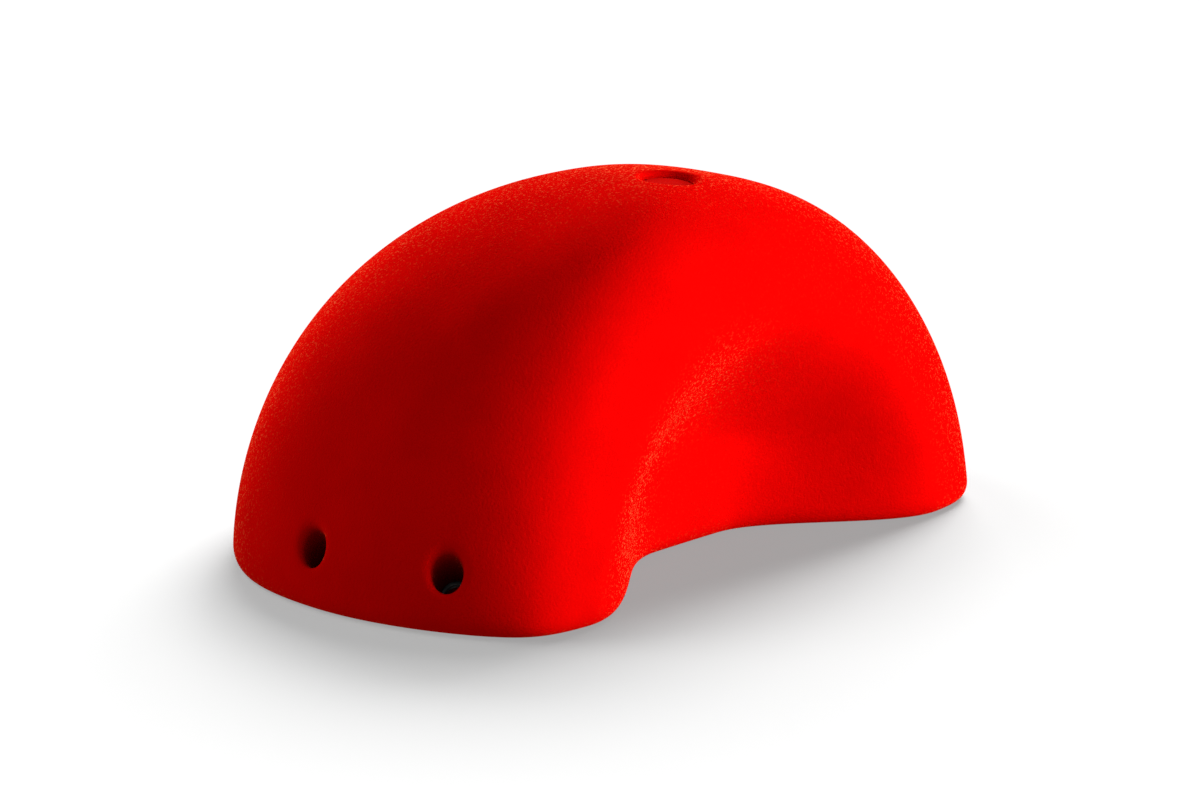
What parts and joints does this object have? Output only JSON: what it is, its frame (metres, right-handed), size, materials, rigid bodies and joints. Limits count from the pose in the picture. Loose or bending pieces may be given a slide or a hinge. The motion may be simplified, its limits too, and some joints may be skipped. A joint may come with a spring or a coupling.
{
  "type": "jug climbing hold",
  "caption": "Large red screw-on jug climbing hold: a bean-shaped, hollow-backed casting with a deep finger pocket, slanted screw wells and a bare crown disc.",
  "frame": {"origin": "middle of the outline, on the wall side of the flat mounting rim", "axes": "+X along the hold, +Y away from the finger pocket, +Z away from the wall"},
  "size_m": [0.2696, 0.1734, 0.1199],
  "materials": {
    "cast_red": "matte cast polyurethane with a fine sandy grain",
    "gloss_red": "smooth and glossy",
    "zinc_steel": "zinc-plated steel"
  },
  "bodies": {
    "root": {"hold_body": "cast_red", "badge_disc": "gloss_red", "screw_washer_left_front": "zinc_steel", "screw_washer_left_back": "zinc_steel", "screw_washer_right_front": "zinc_steel", "screw_washer_right_back": "zinc_steel"}
  },
  "joints": []
}
